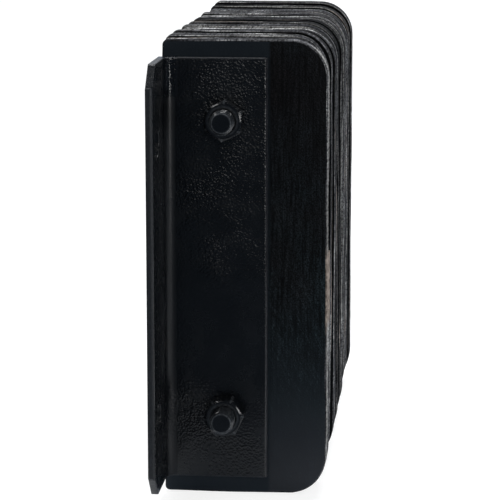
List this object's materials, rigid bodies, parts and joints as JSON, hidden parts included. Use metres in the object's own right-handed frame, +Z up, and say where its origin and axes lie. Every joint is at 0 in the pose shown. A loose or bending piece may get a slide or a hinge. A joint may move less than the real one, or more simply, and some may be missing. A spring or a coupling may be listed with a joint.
{
  "type": "laminated rubber dock bumper",
  "caption": "Laminated rubber bumper: die-cut tyre plies clamped by nutted tie rods between two steel end angles that bolt to a wall to cushion docking lorries.",
  "frame": {"origin": "centre of the four wall anchor holes, in the wall plane, at mid-height", "axes": "+X along the bumper from the nut end to the weld end, +Y into the wall, +Z up; the rubber stands out towards -Y"},
  "size_m": [0.457, 0.111, 0.3047],
  "materials": {
    "ply_rubber": "die-cut tyre rubber, dull, with fabric showing in its cut edges",
    "angle_paint": "thick black gloss enamel with a dimpled surface",
    "fastener_paint": "black gloss enamel over steel threads",
    "weld_paint": "black gloss enamel over a weld bead"
  },
  "bodies": {
    "root": {"ply_01": "ply_rubber", "ply_02": "ply_rubber", "ply_03": "ply_rubber", "ply_04": "ply_rubber", "ply_05": "ply_rubber", "ply_06": "ply_rubber", "ply_07": "ply_rubber", "ply_08": "ply_rubber", "ply_09": "ply_rubber", "ply_10": "ply_rubber", "ply_11": "ply_rubber", "ply_12": "ply_rubber", "ply_13": "ply_rubber", "ply_14": "ply_rubber", "ply_15": "ply_rubber", "ply_16": "ply_rubber", "ply_17": "ply_rubber", "ply_18": "ply_rubber", "ply_19": "ply_rubber", "ply_20": "ply_rubber", "nut_end_angle": "angle_paint", "weld_end_angle": "angle_paint", "tie_rod_lower": "fastener_paint", "tie_rod_upper": "fastener_paint", "hex_nut_lower": "fastener_paint", "hex_nut_upper": "fastener_paint", "rod_weld_lower": "weld_paint", "rod_weld_upper": "weld_paint"}
  },
  "joints": []
}
